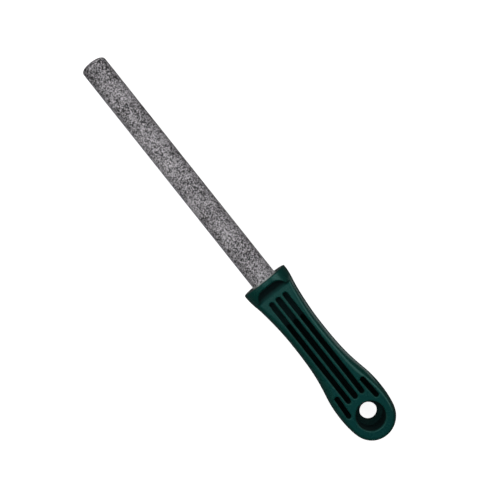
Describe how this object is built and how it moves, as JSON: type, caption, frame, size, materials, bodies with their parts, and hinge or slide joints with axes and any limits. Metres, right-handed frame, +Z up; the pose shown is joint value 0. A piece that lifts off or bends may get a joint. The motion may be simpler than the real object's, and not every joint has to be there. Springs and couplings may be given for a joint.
{
  "type": "knife sharpening steel",
  "caption": "Round grit-coated sharpening rod in a moulded plastic handle with a flared collar, cored slots and a hanging hole.",
  "frame": {"origin": "under the middle of the object as it lies, at the lowest point of the collar", "axes": "+X along the rod to its tip, +Z up out of the cored face of the handle, +Y to the left looking towards the tip"},
  "size_m": [0.2606, 0.0294, 0.0277],
  "materials": {
    "handle_plastic": "glossy moulded deep green",
    "abrasive_grit": "coarse speckled neutral grey abrasive",
    "core_steel": "plain turned steel",
    "cured_adhesive": "glossy cured resin"
  },
  "bodies": {
    "root": {"handle": "handle_plastic", "abrasive_coat": "abrasive_grit", "rod_core": "core_steel", "bond_ring": "cured_adhesive"}
  },
  "joints": []
}
